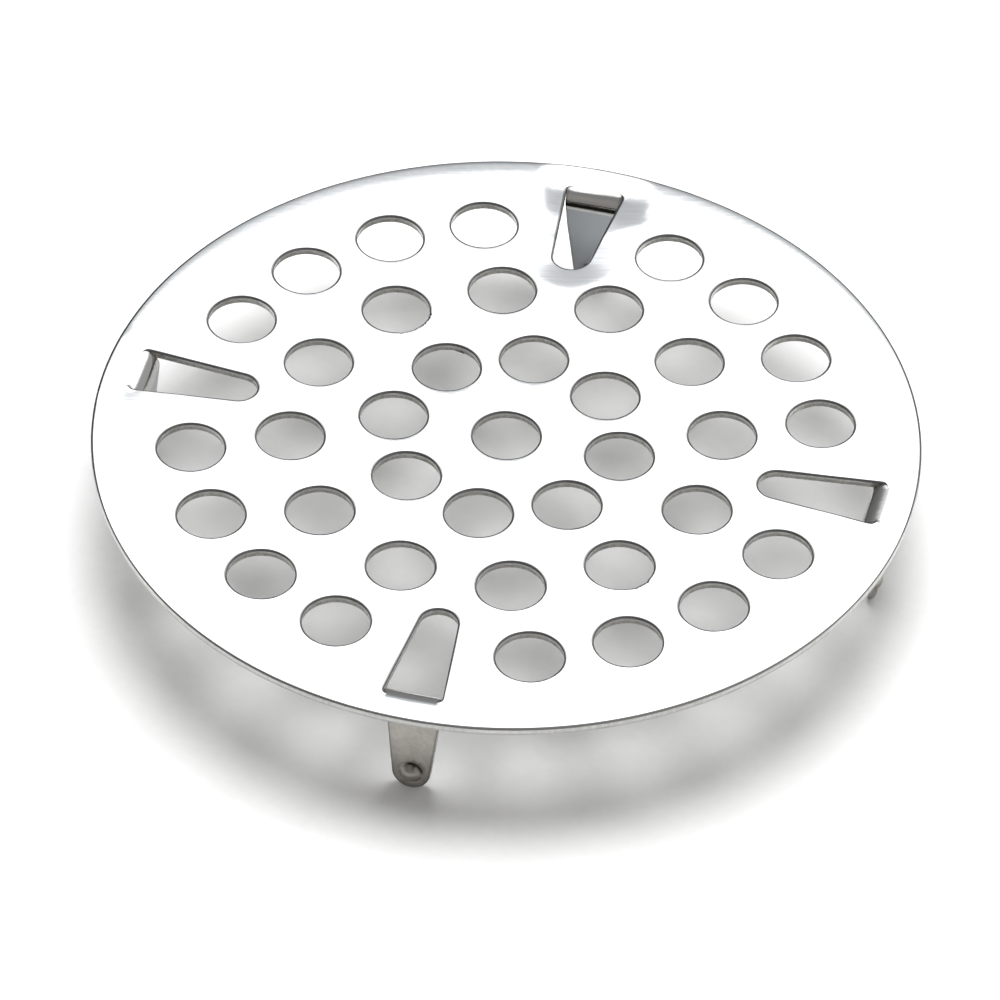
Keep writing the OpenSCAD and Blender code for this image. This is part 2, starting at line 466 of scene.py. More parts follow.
# ---------------------------------------------------------------------------
# Materials
# ---------------------------------------------------------------------------
class Tree:
    def __init__(self, name, world=False):
        if world:
            self.owner = bpy.data.worlds.new(name)
        else:
            self.owner = bpy.data.materials.new(name)
        self.owner.use_nodes = True
        self.t = self.owner.node_tree
        self.t.nodes.clear()

    def node(self, kind, **kw):
        n = self.t.nodes.new(kind)
        inputs = kw.pop("inputs", {})
        for k, val in kw.items():
            setattr(n, k, val)
        for k, val in inputs.items():
            self.feed(n, k, val)
        return n

    def feed(self, n, k, val):
        s = n.inputs[k]
        if isinstance(val, bpy.types.NodeSocket):
            self.t.links.new(val, s)
        else:
            s.default_value = val

    def math(self, op, a, b=None, c=None, clamp=False):
        n = self.node("ShaderNodeMath", operation=op, use_clamp=clamp)
        self.feed(n, 0, a)
        if b is not None:
            self.feed(n, 1, b)
        if c is not None:
            self.feed(n, 2, c)
        return n.outputs[0]

    def step(self, x, a, b, lo=0.0, hi=1.0):
        """Smoothly from lo at a to hi at b. a may be above b."""
        n = self.node("ShaderNodeMapRange", interpolation_type="SMOOTHSTEP", clamp=True)
        self.feed(n, "Value", x)
        if not isinstance(a, bpy.types.NodeSocket) and a > b:
            a, b, lo, hi = b, a, hi, lo
        self.feed(n, "From Min", a)
        self.feed(n, "From Max", b)
        self.feed(n, "To Min", lo)
        self.feed(n, "To Max", hi)
        return n.outputs[0]

    def lerp(self, f, a, b):
        n = self.node("ShaderNodeMix", data_type="FLOAT", clamp_factor=True)
        self.feed(n, 0, f)
        self.feed(n, 2, a)
        self.feed(n, 3, b)
        return n.outputs[0]

    def colour(self, f, a, b, blend="MIX"):
        n = self.node("ShaderNodeMix", data_type="RGBA", blend_type=blend, clamp_factor=True)
        self.feed(n, 0, f)
        for k, val in ((6, a), (7, b)):
            if not isinstance(val, bpy.types.NodeSocket):
                val = (*val, 1.0)
            self.feed(n, k, val)
        return n.outputs[2]

    def noise(self, vector, scale, detail=2.0, rough=0.5, distortion=0.0):
        n = self.node("ShaderNodeTexNoise", noise_dimensions="3D")
        self.feed(n, "Vector", vector)
        self.feed(n, "Scale", scale)
        self.feed(n, "Detail", detail)
        self.feed(n, "Roughness", rough)
        self.feed(n, "Distortion", distortion)
        return n.outputs["Fac"]

    def stretch(self, vector, sx, sy, sz=1.0, angle=0.0):
        r = self.node("ShaderNodeVectorRotate", rotation_type="Z_AXIS")
        self.feed(r, "Vector", vector)
        self.feed(r, "Angle", angle)
        m = self.node("ShaderNodeVectorMath", operation="MULTIPLY")
        self.feed(m, 0, r.outputs[0])
        self.feed(m, 1, (sx, sy, sz))
        return m.outputs[0]


GRAIN = -(CAM_TURN + math.radians(2.0))  # the rolling grain of the sheet runs nearly across the view


def sheet_coords(t):
    a = t.node("ShaderNodeAttribute", attribute_name="sheet", attribute_type="GEOMETRY")
    e = t.node("ShaderNodeAttribute", attribute_name="edge_mm", attribute_type="GEOMETRY")
    k = t.node("ShaderNodeAttribute", attribute_name="mark", attribute_type="GEOMETRY")
    sep = t.node("ShaderNodeSeparateXYZ")
    t.feed(sep, 0, a.outputs["Vector"])
    return a.outputs["Vector"], sep.outputs["Z"], e.outputs["Fac"], k.outputs["Fac"]


def finish(t, colour, rough, normal):
    p = t.node("ShaderNodeBsdfPrincipled", inputs={"Metallic": 1.0})
    t.feed(p, "Base Color", colour)
    t.feed(p, "Roughness", rough)
    t.feed(p, "Normal", normal)
    out = t.node("ShaderNodeOutputMaterial")
    t.feed(out, "Surface", p.outputs[0])
    return t.owner


def bright_face(name, base=(0.80, 0.81, 0.82), rough=0.085, grain_bump=0.012, peel=0.0, specks=True, edge_shade=0.30):
    """The polished side of the sheet. peel is the orange peel that stretching raises on it."""
    t = Tree(name)
    v, depth, edge, mark = sheet_coords(t)
    grain = t.noise(t.stretch(v, 0.35, 9.0, 1.0, GRAIN), 1.0, 3.0, 0.6)
    fine = t.noise(t.stretch(v, 0.9, 26.0, 1.0, GRAIN), 1.0, 2.0, 0.6)
    streak = t.noise(t.stretch(v, 0.16, 2.6, 1.0, GRAIN), 1.0, 4.0, 0.6, 0.3)
    cloud = t.noise(t.stretch(v, 0.10, 0.22, 1.0, GRAIN), 1.0, 3.0, 0.55, 0.4)
    lines = t.math("ADD", t.math("MULTIPLY", grain, 0.6), t.math("MULTIPLY", fine, 0.4))
    # long fine scratches, sparse and at odd angles
    scratch = None
    for k, (ang, sc) in enumerate(((0.35, 0.11), (-0.5, 0.08), (1.25, 0.06))):
        w = t.noise(t.stretch(v, 0.05, 2.6, 1.0, GRAIN + ang), 1.0 + 0.13 * k, 4.0, 0.75)
        thin = t.step(t.math("ABSOLUTE", t.math("SUBTRACT", w, 0.5)), 0.006, 0.0)
        gate = t.step(t.noise(t.stretch(v, sc, sc * 2.2, 1.0, ang), 1.7, 1.0), 0.56, 0.66)
        one = t.math("MULTIPLY", thin, gate)
        scratch = one if scratch is None else t.math("MAXIMUM", scratch, one)
    near = t.step(edge, 1.2, 0.05)
    r = t.math("ADD", rough, t.math("MULTIPLY", t.math("SUBTRACT", cloud, 0.5), 0.05))
    r = t.math("ADD", r, t.math("MULTIPLY", t.math("SUBTRACT", lines, 0.5), 0.05))
    r = t.math("ADD", r, t.math("MULTIPLY", near, 0.02))
    r = t.math("ADD", r, t.math("MULTIPLY", scratch, 0.12))
    # the steep part of the rolled edge is rubbed dull by the punch, so it is rougher
    rolled = t.step(depth, 0.006, 0.035)
    r = t.math("ADD", r, t.math("MULTIPLY", rolled, 0.10))
    r = t.math("MAXIMUM", r, 0.04)
    tint = t.colour(t.step(streak, 0.35, 0.7), base, tuple(c * f for c, f in zip(base, (0.95, 0.965, 0.985))))
    tint = t.colour(t.math("MULTIPLY", scratch, 0.2), tint, (0.55, 0.55, 0.55))
    # painted shade: the steep part of the roll, and the last of the face before any cut edge, are painted darker, a
    # dark line standing in for the dark that the curving edge mirrors
    tint = t.colour(rolled, tint, tuple(c * 0.60 for c in base))
    tint = t.colour(t.step(edge, 0.27, 0.19), tint, tuple(c * edge_shade for c in base))
    if specks:
        # a few pin pricks of dirt or pitting
        cells = t.node("ShaderNodeTexVoronoi", feature="F1", voronoi_dimensions="2D")
        t.feed(cells, "Vector", v)
        t.feed(cells, "Scale", 0.13)
        pick = t.node("ShaderNodeSeparateColor")
        t.feed(pick, 0, cells.outputs["Color"])
        spot = t.math("MULTIPLY", t.step(cells.outputs["Distance"], 0.011, 0.004), t.step(pick.outputs[0], 0.85, 0.90))
        tint = t.colour(spot, tint, (0.06, 0.055, 0.05))
    # painted shade: near-black where the vertices carry painted shade (burrs, detent groove)
    tint = t.colour(mark, tint, (0.015, 0.015, 0.015))
    r = t.lerp(mark, r, 0.6)
    b1 = t.node("ShaderNodeBump", inputs={"Strength": grain_bump, "Distance": 0.00002})
    t.feed(b1, "Height", lines)
    b2 = t.node("ShaderNodeBump", inputs={"Strength": 0.022, "Distance": 0.00006})
    t.feed(b2, "Height", streak)
    t.feed(b2, "Normal", b1.outputs[0])
    normal = b2.outputs[0]
    if peel:
        b3 = t.node("ShaderNodeBump", inputs={"Strength": peel, "Distance": 0.00006})
        t.feed(b3, "Height", t.noise(v, 1.7, 3.0, 0.55, 0.3))
        t.feed(b3, "Normal", normal)
        normal = b3.outputs[0]
    return finish(t, tint, r, normal)


def mill_face(name, base=(0.45, 0.43, 0.40)):
    """The other side of the sheet: a satin mill finish, faintly mottled, with a little grain and a few pits."""
    t = Tree(name)
    v, depth, edge, mark = sheet_coords(t)
    grain = t.noise(t.stretch(v, 0.7, 7.0, 1.0, GRAIN), 1.0, 3.0, 0.6)
    cloud = t.noise(v, 0.75, 3.0, 0.55, 0.4)
    rust = t.noise(t.stretch(v, 1.0, 1.0, 1.0, 0.7), 1.05, 2.0, 0.5, 0.3)
    speck = t.noise(v, 3.2, 3.0, 0.65)
    pits = t.step(t.noise(v, 2.1, 2.0, 0.7), 0.29, 0.24)
    c = t.colour(t.step(cloud, 0.34, 0.66), tuple(x * 0.86 for x in base), tuple(x * 1.12 for x in base))
    c = t.colour(t.math("MULTIPLY", t.step(rust, 0.52, 0.68), 0.6), c, tuple(x * y for x, y in zip(base, (1.05, 0.99, 0.95))))
    c = t.colour(t.math("MULTIPLY", t.step(rust, 0.46, 0.33), 0.6), c, tuple(x * y for x, y in zip(base, (0.93, 1.0, 0.95))))
    c = t.colour(t.math("MULTIPLY", t.step(speck, 0.44, 0.7), 0.35), c, tuple(x * 1.2 for x in base))
    c = t.colour(t.math("MULTIPLY", pits, 0.5), c, (0.17, 0.155, 0.14))
    # painted shade: the last of the sheet before an edge is painted darker, a dark line along it
    c = t.colour(t.math("MULTIPLY", t.step(edge, 0.26, 0.10), 0.55), c, tuple(x * 0.35 for x in base))
    # painted shade: near-black where the vertices carry painted shade (burrs, detent groove)
    c = t.colour(mark, c, (0.02, 0.02, 0.02))
    r = t.math("ADD", 0.34, t.math("MULTIPLY", t.math("SUBTRACT", cloud, 0.5), 0.2))
    r = t.math("ADD", r, t.math("MULTIPLY", t.math("SUBTRACT", grain, 0.5), 0.14))
    b1 = t.node("ShaderNodeBump", inputs={"Strength": 0.3, "Distance": 0.00002})
    t.feed(b1, "Height", t.math("ADD", t.math("MULTIPLY", grain, 0.5), t.math("MULTIPLY", speck, 0.6)))
    b2 = t.node("ShaderNodeBump", inputs={"Strength": 0.35, "Distance": 0.00004})
    t.feed(b2, "Height", t.math("SUBTRACT", cloud, t.math("MULTIPLY", pits, 0.8)))
    t.feed(b2, "Normal", b1.outputs[0])
    return finish(t, c, r, b2.outputs[0])


def sheared_face(name, split=0.48, burnish=(0.76, 0.75, 0.73), torn=(0.60, 0.585, 0.56)):
    """A sheared edge: a burnished land with fine drag lines, then a torn, dull, darker zone below a ragged line."""
    t = Tree(name)
    v, depth, edge, mark = sheet_coords(t)
    # depth is 0 at the top face and 1 at the underside
    ragged = t.noise(t.stretch(v, 1.4, 1.4, 0.0), 1.0, 4.0, 0.7)
    line = t.math("ADD", split - 0.16, t.math("MULTIPLY", ragged, 0.32))
    zone = t.step(t.math("SUBTRACT", depth, line), -0.05, 0.07)
    drag = t.noise(t.stretch(v, 9.0, 9.0, 0.5), 1.0, 3.0, 0.65)
    tear = t.noise(t.stretch(v, 2.4, 2.4, 2.0), 1.0, 5.0, 0.7)
    c1 = t.colour(t.step(drag, 0.35, 0.7), burnish, tuple(x * 0.80 for x in burnish))
    c2 = t.colour(t.step(tear, 0.36, 0.66), tuple(x * 0.78 for x in torn), tuple(x * 1.2 for x in torn))
    c = t.colour(zone, c1, c2)
    # painted shade: a dark band at the top of the wall, under the rolled edge
    c = t.colour(t.step(depth, 0.25, 0.17), c, tuple(x * 0.45 for x in burnish))
    # painted shade: near-black where the vertices carry painted shade (burrs, detent groove)
    c = t.colour(mark, c, (0.015, 0.015, 0.015))
    r = t.lerp(zone, t.math("ADD", 0.22, t.math("MULTIPLY", drag, 0.2)), t.math("ADD", 0.42, t.math("MULTIPLY", tear, 0.3)))
    h = t.lerp(zone, t.math("MULTIPLY", drag, 0.35), tear)
    b = t.node("ShaderNodeBump", inputs={"Strength": 0.7, "Distance": 0.00005})
    t.feed(b, "Height", h)
    return finish(t, c, r, b.outputs[0])


def blanked_rim(name, base=(0.62, 0.615, 0.60)):
    """The outer edge of the disc, tumbled after blanking: an even satin with faint upright drag lines, a darker torn
    zone low down, and a dark band painted along the top, painted shade.
    """
    t = Tree(name)
    v, depth, edge, mark = sheet_coords(t)
    drag = t.noise(t.stretch(v, 2.6, 2.6, 0.6), 1.0, 3.0, 0.6)
    slow = t.noise(v, 0.22, 2.0, 0.5)
    c = t.colour(t.step(drag, 0.3, 0.7), tuple(x * 0.88 for x in base), tuple(x * 1.1 for x in base))
    c = t.colour(t.math("MULTIPLY", t.step(slow, 0.4, 0.65), 0.4), c, tuple(x * 1.25 for x in base))
    torn = t.step(depth, 0.60, 0.74)
    c = t.colour(t.math("MULTIPLY", torn, 0.45), c, tuple(x * 0.6 for x in base))
    # painted shade: a dark band along the top of the rim
    c = t.colour(t.step(depth, 0.20, 0.13), c, tuple(x * 0.72 for x in base))
    r = t.math("ADD", 0.30, t.math("MULTIPLY", drag, 0.2))
    b = t.node("ShaderNodeBump", inputs={"Strength": 0.35, "Distance": 0.00003})
    t.feed(b, "Height", drag)
    return finish(t, c, r, b.outputs[0])


M_TOP = bright_face("polished_stainless")
# painted shade: the legs' bright side is the same polished sheet as the disc top, given a darker, bluer base colour for
# the shaded floor it mirrors
M_TOP_LEG_SHADED = bright_face("polished_stainless_leg_shaded", base=(0.43, 0.455, 0.475), rough=0.16, grain_bump=0.004, specks=False, edge_shade=0.80)
M_TOP_BEND = bright_face("stretched_stainless", base=(0.72, 0.705, 0.68), rough=0.12, grain_bump=0.02, peel=0.10, specks=False, edge_shade=0.70)
M_UNDER = mill_face("mill_finish_stainless")
M_CUT = sheared_face("sheared_edge")
M_CUT_LEG = sheared_face("sheared_edge_leg", split=0.40)
M_RIM = blanked_rim("blanked_rim")

# ---------------------------------------------------------------------------
# The disc
# ---------------------------------------------------------------------------
# ragged burrs left by a worn punch: hole, directions in degrees between which they run, and the edge they are on
BURRS = {13: (-74.0, 12.0, "top"), 19: (-64.0, -18.0, "top"), 4: (66.0, 90.0, "bottom")}


def band_materials(profile, top, cut, under, rolled=0.085):
    """One material for each band between profile rings: down to rolled, the edge still has the face's finish."""
    out = []
    for k in range(len(profile) - 1):
        mid = (profile[k][1] + profile[k + 1][1]) / 2
        out.append(top if mid < rolled else under if mid > T - 0.05 else cut)
    return out


def build_plate():
    sh = Shell()
    top_loops, bottom_loops = [], []

    def ring_rows(pts, nrm, fade, profile, seed, burr=None, ends=False, spare=0.0):
        rows = []
        n = len(pts)
        phase = np.arange(n) / n * 2 * math.pi
        rng = np.random.RandomState(seed)
        # the roll and the tear both wander along the edge
        wander = sum(
            np.sin(phase * k + rng.uniform(0, 6.28)) * rng.uniform(0.3, 1.0) / math.sqrt(k)
            for k in (1, 2, 3, 5, 7)
        )
        rag = sum(np.sin(phase * k + rng.uniform(0, 6.28)) * rng.uniform(0.4, 1.0) for k in (9, 14, 21, 27, 33))
        burred = np.zeros(n)
        if burr:
            deg = np.degrees(np.arctan2(nrm[:, 1], nrm[:, 0]))
            lo, hi, where = burr
            window = smooth(deg, lo, lo + 8) * (1 - smooth(deg, hi - 8, hi))
            torn = sum(np.sin(phase * k + rng.uniform(0, 6.28)) for k in (17, 31, 47, 71)) / 2.0
            burred = window * (0.35 + 0.65 * np.clip(0.35 + torn, 0, 1.4))
        for k, (o, d) in enumerate(profile):
            off = o * (1 + 0.12 * wander * (d < 0.2)) * fade
            if 0.40 < d < T - 0.02:
                off = off + np.maximum(0.006 * rag * fade, -off)
            # the burrs are shaped here and also painted near-black: painted shade on them
            mark = np.zeros(n)
            if burr and burr[2] == "top" and o < 0.30 and d < 0.40:
                off = off + burred * 0.15 * (1 - d / 0.40) * (1 - o / 0.40)
                mark = burred
            if burr and burr[2] == "bottom" and 0.6 < d < T and o < 0.1:
                off = off - burred * 0.13
                mark = burred
            xy = pts + nrm * off[:, None]
            z = T + dish(xy) - d
            if T - 0.02 < d < T:
                z = z - 0.004 * rag
            p = np.column_stack([xy, z])
            flat = np.column_stack([xy, np.full(n, d / T)])
            row = sh.add(p, flat, max(o, 0.0) + spare + 0.3 * (1 - fade), mark)
            if ends and k and d == profile[k - 1][1]:
                # rows at one depth meet in one point where the cut ends
                row[0], row[-1] = rows[-1][0], rows[-1][-1]
            rows.append(row)
        return rows

    ones = lambda n: np.ones(n)
    # rim
    n = 560
    ang = np.arange(n) * 2 * math.pi / n
    pts = RIM_R * np.stack([np.cos(ang), np.sin(ang)], 1)
    # the dark line painted along the rim's edge (painted shade) fades out, and the edge is a little less rough, where
    # it faces the front
    rows = ring_rows(pts, -pts / RIM_R, ones(n), RIM, 3, spare=0.3 * smooth(-turn(pts, -13)[:, 1], 4.0, 26.0))
    bands = band_materials(RIM, 0, 3, 2, 0.05)
    first = len(sh.faces)
    sh.grid(rows, bands, True)
    # the polish stops higher on the rolled edge along the front
    worn = 0.05 - 0.04 * smooth(-turn(pts, -13)[:, 1], 4.0, 26.0)
    for k, mat in enumerate(bands):
        if mat == 0:
            for i in np.where((RIM[k][1] + RIM[k + 1][1]) / 2 > worn)[0]:
                sh.mat[first + k * n + int(i)] = 3
    top_loops.append(rows[0])
    bottom_loops.append(rows[-1])
    # round holes
    for i, (cx, cy) in enumerate(holes):
        n = 240 if i in BURRS else 88
        ang = np.arange(n) * 2 * math.pi / n
        unit = np.stack([np.cos(ang), np.sin(ang)], 1)
        rows = ring_rows(unit * HOLE_R + [cx, cy], unit, ones(n), PUNCHED, 100 + i, BURRS.get(i))
        sh.grid(rows, band_materials(PUNCHED, 0, 1, 2), True)
        top_loops.append(rows[0])
        bottom_loops.append(rows[-1])
    # slots
    cap_rows = []
    seam_normals = {}
    m = 26
    level = [k for k in range(len(PUNCHED)) if k == 0 or PUNCHED[k][1] != PUNCHED[k - 1][1]]
    for i, (_, az) in enumerate(SIDES):
        pts, nrm = turn(SLOT_PTS, az), turn(SLOT_NRM, az)
        fade = smooth(np.linalg.norm(SLOT_PTS - [XT, W1], axis=1), 0, 0.7) * smooth(
            np.linalg.norm(SLOT_PTS - [XT, -W1], axis=1), 0, 0.7
        )
        pts[0], pts[-1] = turn([XT, W1], az), turn([XT, -W1], az)
        rows = ring_rows(pts, nrm, fade, PUNCHED, 300 + i, ends=True)
        sh.grid(rows, band_materials(PUNCHED, 0, 1, 2), False)
        # the whole sheet between the corners, cut here because the bend is its own piece
        ys = np.linspace(-W1, W1, m + 1)[1:-1]
        seam = []
        for k in level:
            d = PUNCHED[k][1]
            xy = turn(np.column_stack([np.full(len(ys), XT), ys]), az)
            p = np.column_stack([xy, np.full(len(ys), T - d) + dish(xy)])
            mid = sh.add(p, np.column_stack([xy, np.full(len(ys), d / T)]), 1.0)
            seam.append(np.concatenate([[rows[k][-1]], mid, [rows[k][0]]]))
        up = np.append(turn([-DRAG / DRAG_L, 0.0], az), 1.0)
        up /= np.linalg.norm(up)
        seam_normals.update({int(v): up for v in seam[0]})
        seam_normals.update({int(v): -up for v in seam[-1]})
        cap_rows.append(seam)
        top_loops.append(np.concatenate([rows[0], seam[0][1:-1]]))
        bottom_loops.append(np.concatenate([rows[-1], seam[-1][1:-1]]))
    first_cap = len(sh.faces)
    for seam in cap_rows:
        sh.grid(seam, 1, False)
    last_cap = len(sh.faces)

    # points spread over the flats, so that the slight waviness of the sheet is real shape
    def spread(step):
        g = []
        rows_n = int(2 * R / (step * 0.866)) + 1
        for j in range(rows_n):
            y = -R + j * step * 0.866
            x = np.arange(-R + (j % 2) * step / 2, R, step)
            g.append(np.column_stack([x, np.full(len(x), y)]))
        return np.vstack(g)

    def faces_between(loops, g, clear, top):
        allv = np.vstack(sh.v)
        polys = [allv[l][:, :2] for l in loops]
        rad = np.hypot(g[:, 0], g[:, 1])
        ok = rad < R - clear - 0.3
        ok &= hole_distance(g) > clear
        for cx, cy in holes:
            ok &= np.hypot(g[:, 0] - cx, g[:, 1] - cy) > HOLE_R + clear
        line = line_distance(g)
        ok &= (slot_distance(g) > clear) | (line < 1.6)
        ok &= line > 0.07
        g = g[ok]
        for poly in polys[-4:]:
            g = g[~inside_polygon(g, poly)]
            gap = np.min([np.hypot(g[:, 0] - x, g[:, 1] - y) for x, y in poly], axis=0)
            g = g[gap > 0.06]
        z = (T if top else 0.0) + dish(g)
        d = np.minimum(np.minimum(slot_distance(g), hole_distance(g)), R - np.hypot(g[:, 0], g[:, 1]))
        ids = sh.add(np.column_stack([g, z]), np.column_stack([g, np.full(len(g), 0.0 if top else 1.0)]), d)
        outer = polys[0]

        def keep(c):
            k = inside_polygon(c, outer)
            for poly in polys[1:]:
                near = np.hypot(*(c - poly.mean(0)).T) < np.hypot(*(poly - poly.mean(0)).T).max() + 0.01
                sel = np.where(near)[0]
                k[sel[inside_polygon(c[sel], poly)]] = False
            return k

        tris = triangulate(list(zip(polys, loops)), [(g, ids)], keep)
        if not top:
            tris = tris[:, ::-1]
        return tris

    def graded(coarse):
        """Coarse points over the flats, finer ones at the rim and round the slots, and the finest along the bend lines."""
        out = []
        g = spread(coarse)
        fine = (R - np.hypot(*g.T) < 3.4) | (slot_distance(g) < 3.2) | (line_distance(g) < 2.0)
        out.append(g[~fine])
        g = spread(0.46)
        line = line_distance(g)
        near = ((R - np.hypot(*g.T) < 3.4) | (slot_distance(g) < 3.2) | (line < 2.0)) & (line > 1.2)
        out.append(g[near])
        g = spread(0.21)
        line = line_distance(g)
        out.append(g[(line < 1.2) & (line > 0.45)])
        g = spread(0.11)
        out.append(g[line_distance(g) < 0.45])
        return np.vstack(out)

    sh.polygons(faces_between(top_loops, graded(0.9), 0.85, True), 0)
    sh.polygons(faces_between(bottom_loops, graded(1.8), 0.8, False), 2)
    return make_object("strainer_plate_sheet", sh, [M_TOP, M_CUT, M_UNDER, M_RIM], range(first_cap, last_cap), seam_normals)


# ---------------------------------------------------------------------------
# A bend and its leg, drawn flat and then folded. s runs along the tongue from
# the bend line, y across it, w through the sheet from the bright side
# ---------------------------------------------------------------------------
def fold(s, y, w):
    s, y, w = np.broadcast_arrays(np.asarray(s, float), np.asarray(y, float), np.asarray(w, float))
    phi = np.clip(s / BEND_FLAT, 0, 1) * BEND
    r = BR + T - w
    rest = np.maximum(s - BEND_FLAT, 0)
    x = XT - r * np.sin(phi) - math.cos(BEND) * rest
    z = -BR + r * np.cos(phi) - math.sin(BEND) * rest
    return np.stack([x, y, z], -1)


def blade_half(s):
    """Half width of the tongue at s from the bend line. It starts at the whole width of the slot and leaves a shearing gap."""
    h = FOOT / math.cos(TAPER) + (LEG - FOOT - (s - BEND_FLAT)) * TAN
    bend = slot_half(XT - s) - GAP * smooth(s, 0, 0.8) - corner(s)
    f = smooth(s, BEND_FLAT, BEND_FLAT + 2.6)
    return bend * (1 - f) + h * f


DOME = np.array([[0, .65], [.12, .645], [.25, .624], [.38, .588], [.5, .54], [.62, .475], [.72, .405], [.81, .325], [.88, .245],
                 [.94, .165], [.99, .09], [1.04, .025], [1.09, -.022], [1.14, -.036], [1.20, -.028], [1.28, -.008], [1.36, 0], [9, 0]])
HOLLOW = np.array([[0, .60], [.15, .585], [.3, .545], [.45, .475], [.58, .385], [.68, .295], [.76, .205], [.82, .13], [.88, .07],
                   [.95, .03], [1.05, .008], [1.2, 0], [9, 0]])


def lathe(table, rho):
    return np.interp(rho, table[:, 0], table[:, 1])


def smooth_table(table):
    """The same curve, sampled finely and softened, so that no ring of the dimple shows as a crease."""
    x = np.linspace(0, 2.0, 401)
    y = np.interp(x, table[:, 0], table[:, 1])
    full = np.concatenate([y[::-1], y[1:]])
    k = np.hanning(23)
    full = np.convolve(full, k / k.sum(), "same")
    y2 = full[len(y) - 1:]
    y2[x > 1.6] = 0
    return np.column_stack([np.append(x, 9.0), np.append(y2, 0.0)])


DOME, HOLLOW = smooth_table(DOME), smooth_table(HOLLOW)
FOOT_S = BEND_FLAT + LEG - FOOT  # centre of the rounded foot and of the detent


def flat_xy(s, y, az):
    return turn(np.stack([XT - np.asarray(s, float), np.asarray(y, float)], -1), az)


